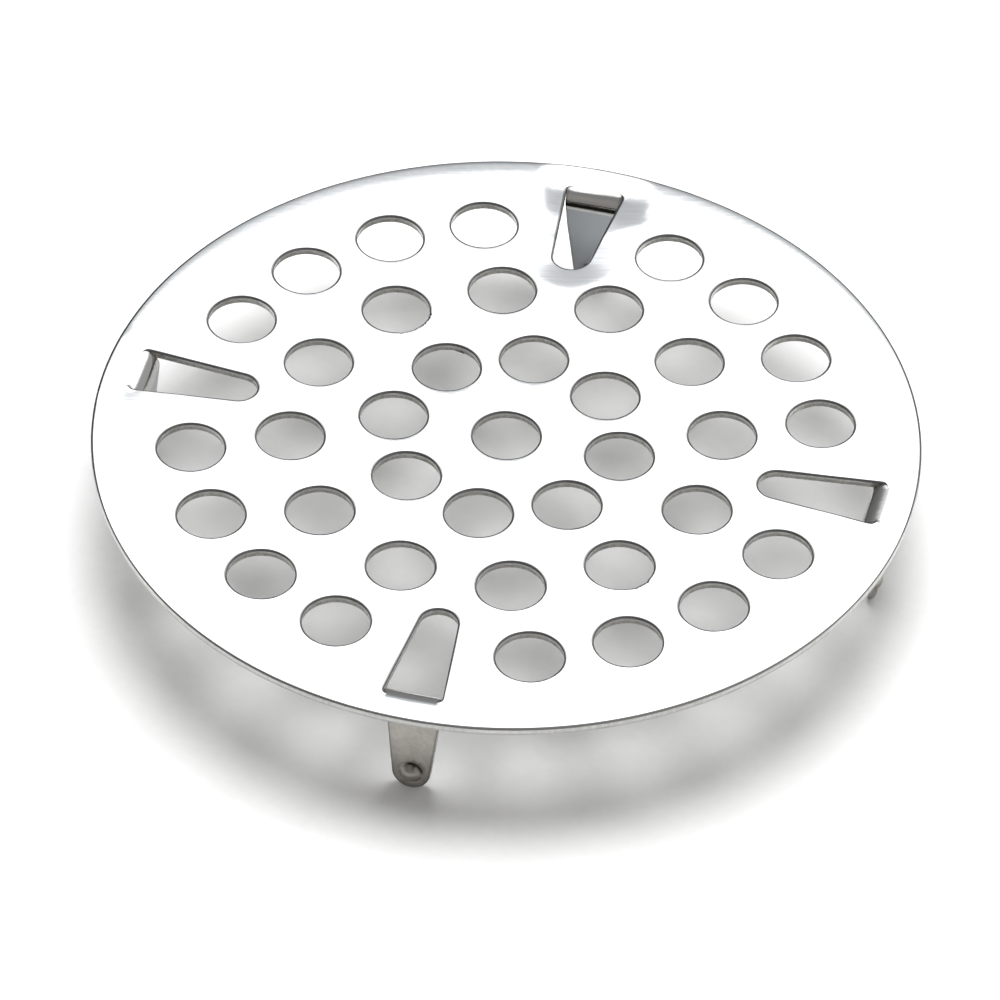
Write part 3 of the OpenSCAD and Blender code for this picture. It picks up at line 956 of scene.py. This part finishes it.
def build_tongue(name, az):
    ca, sa = math.cos(math.radians(az)), math.sin(math.radians(az))
    rot = np.array([[ca, -sa, 0], [sa, ca, 0], [0, 0, 1.0]])
    K = len(TONGUE)
    m = 18

    def section(sh, s, fade):
        """One cross-section: its points run over the bright side, round one edge, back along the dull side and round the other."""
        h = blade_half(s)
        prof = [(o * fade, w) for o, w in TONGUE]
        top_y = np.linspace(-(h - prof[0][0]), h - prof[0][0], m + 1)
        bot_y = np.linspace(h - prof[-1][0], -(h - prof[-1][0]), m + 1)
        yy = list(top_y) + [h - o for o, _ in prof[1:-1]] + list(bot_y) + [-(h - o) for o, _ in prof[1:-1]][::-1]
        ww = [0.0] * (m + 1) + [w for _, w in prof[1:-1]] + [T] * (m + 1) + [w for _, w in prof[1:-1]][::-1]
        yy, ww = np.array(yy), np.array(ww)
        ss = np.full(len(yy), s)
        p = fold(ss, yy, ww)
        # it starts as low and as steep as the sheet it leaves
        phi = min(s / BEND_FLAT, 1.0) * BEND
        sink = (dish(flat_xy(0 * yy, yy, az)) - DRAG / DRAG_L * s) * float(1 - smooth(s, 0, 1.4))
        p += sink[:, None] * np.array([-math.sin(phi), 0.0, math.cos(phi)])
        edge = np.abs(h - np.abs(yy))
        fx = flat_xy(ss, yy, az)
        return sh.add(p, np.column_stack([fx, ww / T]), edge), ww

    # the bend
    bend = Shell()
    ns = 40
    rows = []
    for i in range(ns + 1):
        s = BEND_FLAT * (i / ns) ** 1.4
        r, ww = section(bend, s, float(smooth(s, 0, 0.8)))
        rows.append(r)
    L = len(rows[0])
    for i in range(ns):
        for j in range(L):
            k = (j + 1) % L
            mid = (ww[j] + ww[k]) / 2
            mat = 0 if mid < 0.03 else 2 if mid > T - 0.05 else 1
            bend.put((rows[i][j], rows[i][k], rows[i + 1][k], rows[i + 1][j]), mat)
    caps_at = len(bend.faces)
    bend.put(rows[0], 1)
    bend.put(rows[-1][::-1], 1)

    # the blade
    leg = Shell()
    root, _ = section(leg, BEND_FLAT, 1.0)
    n_side = 34
    n_arc = 44
    f = np.linspace(0, 1, n_side)
    s_end = FOOT_S + FOOT * math.sin(TAPER)
    side = np.column_stack([BEND_FLAT + f * (s_end - BEND_FLAT), np.zeros(n_side)])
    side[:, 1] = [float(blade_half(x)) for x in side[:, 0]]
    nrm = np.tile([math.sin(TAPER), math.cos(TAPER)], (n_side, 1))
    # square to the root there, so that the cut ends match
    bend_in = smooth(np.arange(n_side), 0, 3)[:, None]
    nrm = nrm * bend_in + np.array([0.0, 1.0]) * (1 - bend_in)
    a = np.linspace(math.pi / 2 - TAPER, -math.pi / 2 + TAPER, n_arc)[1:-1]
    arc = np.column_stack([FOOT_S + FOOT * np.cos(a), FOOT * np.sin(a)])
    arc_n = np.column_stack([np.cos(a), np.sin(a)])
    path = np.vstack([side, arc, side[::-1] * [1, -1]])
    pn = np.vstack([nrm, arc_n, nrm[::-1] * [1, -1]])
    n = len(path)
    ring = []
    half = K - 2
    top_ids = root[: m + 1]
    plus = root[m + 1: m + 1 + half]
    bot_ids = root[m + 1 + half: 2 * m + 2 + half]
    minus = root[2 * m + 2 + half:]
    for k, (o, w) in enumerate(TONGUE):
        q = path - pn * o
        dent = lathe(DOME, np.hypot(q[1:-1, 0] - FOOT_S, q[1:-1, 1])) if w == T else 0.0
        ids = leg.add(
            fold(q[1:-1, 0], q[1:-1, 1], w + dent),
            np.column_stack([flat_xy(q[1:-1, 0], q[1:-1, 1], az), np.full(n - 2, w / T)]),
            o,
        )
        if k == 0:
            ends = (top_ids[-1], top_ids[0])
        elif k == K - 1:
            ends = (bot_ids[0], bot_ids[-1])
        else:
            ends = (plus[k - 1], minus[::-1][k - 1])
        ring.append(np.concatenate([[ends[0]], ids, [ends[1]]]))
    for k in range(K - 1):
        mid = (TONGUE[k][1] + TONGUE[k + 1][1]) / 2
        mat = 0 if mid < 0.03 else 2 if mid > T - 0.05 else 1
        for i in range(n - 1):
            leg.put((ring[k][i], ring[k][i + 1], ring[k + 1][i + 1], ring[k + 1][i]), mat)

    def face_points(o, table, w0, poly):
        pts = []
        for rho in [0.0] + list(np.arange(0.06, 1.34, 0.05)):
            c = 1 if rho == 0 else 56
            th = np.arange(c) * 2 * math.pi / c
            pts.append(np.column_stack([FOOT_S + rho * np.cos(th), rho * np.sin(th)]))
        pts = np.vstack(pts)
        g = []
        for j, s in enumerate(np.arange(BEND_FLAT + 0.35, FOOT_S - 0.3, 0.36)):
            h = float(blade_half(s)) - o - 0.3
            cnt = max(3, int(2 * h / 0.42))
            g.append(np.column_stack([np.full(cnt, s), np.linspace(-h, h, cnt)]))
        g = np.vstack(g)
        g = g[np.hypot(g[:, 0] - FOOT_S, g[:, 1]) > 1.42]
        pts = np.vstack([pts, g])
        pts = pts[inside_polygon(pts, poly)]
        pts = pts[np.min([np.hypot(pts[:, 0] - x, pts[:, 1] - y) for x, y in poly], axis=0) > 0.035]
        rho = np.hypot(pts[:, 0] - FOOT_S, pts[:, 1])
        w = w0 + lathe(table, rho)
        edge = np.where(
            pts[:, 0] > FOOT_S, FOOT - rho, np.array([float(blade_half(x)) for x in pts[:, 0]]) - np.abs(pts[:, 1])
        )
        # painted shade in the groove on one side of the detent: a dark crescent and a thinner dark ring outside it; and
        # a dark spot painted on the dome
        mark = np.zeros(len(pts))
        if w0:
            off = np.degrees(np.arctan2(pts[:, 1], pts[:, 0] - FOOT_S)) - 150.0
            off = np.abs((off + 180) % 360 - 180)
            mark = 1.15 * np.exp(-(((rho - 1.07) / 0.12) ** 2)) * (1 - smooth(off, 38, 74))
            mark += 0.55 * np.exp(-(((rho - 1.30) / 0.05) ** 2)) * (1 - smooth(off, 20, 55))
            spot = np.hypot(pts[:, 0] - FOOT_S + 0.80, pts[:, 1] - 0.26)
            mark = np.clip(mark + 0.6 * np.exp(-((spot / 0.2) ** 2)), 0, 0.95)
        ids = leg.add(
            fold(pts[:, 0], pts[:, 1], w),
            np.column_stack([flat_xy(pts[:, 0], pts[:, 1], az), np.full(len(pts), w0 / T)]),
            edge,
            mark,
        )
        return pts, ids

    def cover(k, o, table, w0, between, mat, flip):
        q = path - pn * o
        h = float(blade_half(BEND_FLAT)) - o
        seam_y = np.linspace(-h, h, m + 1)
        loop_pts = np.vstack([q[:1] * 0 + [BEND_FLAT, h], q[1:-1], [[BEND_FLAT, -h]], np.column_stack([np.full(m - 1, BEND_FLAT), seam_y[1:-1]])])
        loop_ids = np.concatenate([ring[k], between])
        poly = loop_pts
        pts, ids = face_points(o, table, w0, poly)
        tris = triangulate([(loop_pts, loop_ids)], [(pts, ids)], lambda c: inside_polygon(c, poly))
        if flip:
            tris = tris[:, ::-1]
        leg.polygons(tris, mat)

    cover(0, TONGUE[0][0], HOLLOW, 0.0, top_ids[1:-1], 0, False)
    cover(K - 1, TONGUE[-1][0], DOME, T, bot_ids[1:-1][::-1], 2, True)
    leg_cap = len(leg.faces)
    leg.put(root, 1)

    # shared normals where the pieces meet
    fixed_b, fixed_l = {}, {}
    start = np.array([-DRAG / DRAG_L, 0, 1.0])
    start /= np.linalg.norm(start)
    end = np.array([-math.sin(BEND), 0, math.cos(BEND)])
    for j, w in enumerate(ww):
        up = {0.0: 1, T: -1}.get(float(w))
        if up:
            fixed_b[int(rows[0][j])] = rot @ (start * up)
            fixed_b[int(rows[-1][j])] = rot @ (end * up)
            fixed_l[int(root[j])] = rot @ (end * up)
    b_ob = make_object(
        "root_bend_%s_sheet" % name, bend, [M_TOP_BEND, M_CUT_LEG, M_UNDER], [caps_at, caps_at + 1], fixed_b, rot
    )
    l_ob = make_object("spring_leg_%s_blade" % name, leg, [M_TOP_LEG_SHADED, M_CUT_LEG, M_UNDER], [leg_cap], fixed_l, rot)
    return b_ob, l_ob


plate = build_plate()
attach(plate, "plate")
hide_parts("strainer_plate")

for name, az in SIDES:
    b_ob, l_ob = build_tongue(name, az)
    mid = np.array([XT, 0, -BR + BR + T / 2])
    root_mid = np.array([XT - (BR + T / 2) * math.sin(BEND), 0, -BR + (BR + T / 2) * math.cos(BEND)])
    chord = root_mid - mid
    reach = np.linalg.norm(chord)
    chord /= reach
    c, s = math.cos(math.radians(az)), math.sin(math.radians(az))
    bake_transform(b_ob)
    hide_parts("root_bend_" + name)
    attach(l_ob, "leg_" + name)
    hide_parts("spring_leg_" + name)

# ---------------------------------------------------------------------------
# Floor: a plain pale sweep. It is seen from above only, so the underside of
# the part can be looked at from below
# ---------------------------------------------------------------------------
floor_z = cad_lo.z - 0.00002
me = bpy.data.meshes.new("floor")
ring_n, floor_rows = 96, [0.0, 0.06, 0.12, 0.3, 0.8, 2.5]
fv, ff = [(0.0, 0.0, floor_z)], []
for r_f in floor_rows[1:]:
    fv += [(r_f * math.cos(2 * math.pi * i / ring_n), r_f * math.sin(2 * math.pi * i / ring_n), floor_z) for i in range(ring_n)]
for i in range(ring_n):
    ff.append((0, 1 + i, 1 + (i + 1) % ring_n))
for k in range(len(floor_rows) - 2):
    for i in range(ring_n):
        a, b = 1 + k * ring_n + i, 1 + k * ring_n + (i + 1) % ring_n
        ff.append((a, a + ring_n, b + ring_n, b))
me.from_pydata(fv, [], ff)
me.update()
floor = bpy.data.objects.new("floor", me)
bpy.context.scene.collection.objects.link(floor)

t = Tree("pale_floor")
geo = t.node("ShaderNodeNewGeometry")
paths = t.node("ShaderNodeLightPath")
grain = t.noise(geo.outputs["Position"], 900.0, 2.0, 0.5)
col = t.colour(grain, (0.49, 0.495, 0.495), (0.53, 0.53, 0.53))
# painted shade: in the metal (glossy rays only), the floor is painted darker close by, standing in for the part's
# shadow, and near-black further off where the ray runs forward, standing in for a dark room
glossy, length = paths.outputs["Is Glossy Ray"], paths.outputs["Ray Length"]
to_rear = t.node("ShaderNodeVectorMath", operation="DOT_PRODUCT")
t.feed(to_rear, 0, geo.outputs["Incoming"])
t.feed(to_rear, 1, (-math.sin(CAM_TURN), math.cos(CAM_TURN), 0.0))
forward = t.step(to_rear.outputs["Value"], -0.1, 0.15)
col = t.colour(t.math("MULTIPLY", glossy, t.step(length, 0.010, 0.003)), col, (0.38, 0.375, 0.37))
far = t.math("MULTIPLY", t.step(length, 0.0165, 0.025), forward)
col = t.colour(t.math("MULTIPLY", glossy, far), col, (0.008, 0.0075, 0.007))
diff = t.node("ShaderNodeBsdfDiffuse")
t.feed(diff, "Color", col)
clear = t.node("ShaderNodeBsdfTransparent")
mix = t.node("ShaderNodeMixShader")
t.feed(mix, 0, geo.outputs["Backfacing"])
t.feed(mix, 1, diff.outputs[0])
t.feed(mix, 2, clear.outputs[0])
out = t.node("ShaderNodeOutputMaterial")
t.feed(out, "Surface", mix.outputs[0])
floor.data.materials.append(t.owner)

# ---------------------------------------------------------------------------
# Light: a studio that the metal mirrors, with a long bright panel behind and
# above the part, a warm grey room over the camera and a dark horizon; and a
# broad soft top light on the floor alone
# ---------------------------------------------------------------------------
PANEL_LOW = 40.2
w = Tree("studio", world=True)
tc = w.node("ShaderNodeTexCoord")
rot = w.node("ShaderNodeVectorRotate", rotation_type="Z_AXIS")
w.feed(rot, "Vector", tc.outputs["Generated"])
w.feed(rot, "Angle", -CAM_TURN)
sep = w.node("ShaderNodeSeparateXYZ")
w.feed(sep, 0, rot.outputs[0])
X, Y, Z = sep.outputs
elev = w.math("MULTIPLY", w.math("ARCSINE", Z), 180 / math.pi)
arc = w.math("MULTIPLY", w.math("ARCTAN2", Z, Y), 180 / math.pi)  # 0 at the back horizon, 90 overhead, 180 at the camera's
wide = w.math("ABSOLUTE", X)
tilt = w.math("MULTIPLY", w.math("MAXIMUM", w.math("MINIMUM", X, 0.3), -0.3), 6.0)
above = w.math("ADD", w.math("SUBTRACT", arc, PANEL_LOW), tilt)
panel = w.math("ADD", w.math("MULTIPLY", w.step(above, -0.7, 0.7), 0.75), w.step(above, 0.2, 2.6, 0.0, 0.75))
panel = w.math("ADD", panel, w.math("MULTIPLY", w.step(above, -9, -0.5), 0.42))  # it glows under its edge
panel = w.math("MULTIPLY", panel, w.step(arc, 64, 55))
panel = w.math("MULTIPLY", panel, w.step(wide, 0.52, 0.38))
camera_side = w.step(arc, 70, 110)
dark = w.math("MULTIPLY", w.step(elev, 18, 9), w.lerp(camera_side, 0.15, 1.0))
room = w.lerp(camera_side, 0.27, 0.34)
room = w.math("ADD", room, w.math("MULTIPLY", w.step(X, 0.20, 0.42), 0.16))
room = w.math("SUBTRACT", room, w.math("MULTIPLY", w.step(X, -0.20, -0.45), 0.10))
level = w.lerp(dark, room, w.step(wide, 0.30, 0.65, 0.015, 0.17))
level = w.math("ADD", level, w.math("MULTIPLY", panel, w.math("SUBTRACT", 1.0, dark)))
tint = w.colour(camera_side, (0.97, 0.99, 1.0), (1.0, 0.97, 0.93))
tint = w.colour(w.math("MINIMUM", panel, 1.0), tint, (1.0, 1.0, 1.0))
# what the camera itself sees past the floor is plain and pale
camera_ray = w.node("ShaderNodeLightPath").outputs["Is Camera Ray"]
bg1 = w.node("ShaderNodeBackground")
w.feed(bg1, "Color", tint)
w.feed(bg1, "Strength", level)
bg2 = w.node("ShaderNodeBackground", inputs={"Color": (1, 1, 1, 1), "Strength": 1.1})
mixw = w.node("ShaderNodeMixShader")
w.feed(mixw, 0, camera_ray)
w.feed(mixw, 1, bg1.outputs[0])
w.feed(mixw, 2, bg2.outputs[0])
outw = w.node("ShaderNodeOutputWorld")
w.feed(outw, "Surface", mixw.outputs[0])
bpy.context.scene.world = w.owner

only_floor = bpy.data.collections.new("lit_by_top_light")
only_floor.objects.link(floor)


def cam_frame(x, y, z):
    c, s = math.cos(CAM_TURN), math.sin(CAM_TURN)
    return Vector((x * c - y * s, x * s + y * c, z))


def area(name, place, size, power, target=(0, 0, 0), floor_only=False, shape="DISK"):
    li = bpy.data.lights.new(name, "AREA")
    li.shape = shape
    li.size = size
    li.energy = power
    ob = bpy.data.objects.new(name, li)
    ob.location = cam_frame(*place)
    ob.rotation_mode = "QUATERNION"
    ob.rotation_quaternion = (Vector(target) - ob.location).to_track_quat("-Z", "Y")
    bpy.context.scene.collection.objects.link(ob)
    if floor_only:
        ob.light_linking.receiver_collection = only_floor
        ob.visible_glossy = False
    ob.visible_camera = False
    return ob


area("top_light", (0.015, 0.155, 0.60), 0.5, 5.7, floor_only=True)
area("sky_light", (0, 0.42, 0.90), 1.3, 9.0, floor_only=True)
area("low_left", (-0.72, 0.22, 0.55), 0.6, 2.4, floor_only=True)
area("low_right", (0.72, 0.22, 0.55), 0.6, 3.3, floor_only=True)
area("low_rear", (0, 0.80, 0.52), 0.6, 0.4, floor_only=True)
area("low_front", (0.05, -0.70, 0.62), 0.7, 2.0, floor_only=True)

# ---------------------------------------------------------------------------
# Camera, at the photograph's viewing angle
# ---------------------------------------------------------------------------
F_PX, DIST, ELEV, ROLL, TX, TY = 8983.82, 21.61941, 0.76050337, 0.02259500, 6.41902, -65.02228
ce, se = math.cos(ELEV), math.sin(ELEV)
right = np.array([1, 0, 0.0])
fwd = np.array([0, ce, -se])
up = np.array([0, se, ce])
cr, sr = math.cos(ROLL), math.sin(ROLL)
right2, up2 = cr * right + sr * up, -sr * right + cr * up
place = (-fwd * DIST - right2 * TX * DIST / F_PX + up2 * TY * DIST / F_PX) * R * MM
c, s = math.cos(CAM_TURN), math.sin(CAM_TURN)
RZ = np.array([[c, -s, 0], [s, c, 0], [0, 0, 1.0]])
place = RZ @ place + np.array([0, 0, T * MM])
right3, up3, back3 = RZ @ right2, RZ @ up2, RZ @ -fwd
cam_data = bpy.data.cameras.new("camera")
cam_data.lens = F_PX * 36.0 / 1000.0
cam_data.sensor_width = 36.0
cam_data.clip_start = 0.05
cam_data.clip_end = 20.0
cam = bpy.data.objects.new("camera", cam_data)
cam.matrix_world = Matrix(
    [
        [right3[0], up3[0], back3[0], place[0]],
        [right3[1], up3[1], back3[1], place[1]],
        [right3[2], up3[2], back3[2], place[2]],
        [0, 0, 0, 1],
    ]
)
bpy.context.scene.collection.objects.link(cam)
bpy.context.scene.camera = cam
bpy.context.scene.view_settings.view_transform = "Standard"
bpy.context.scene.view_settings.look = "None"
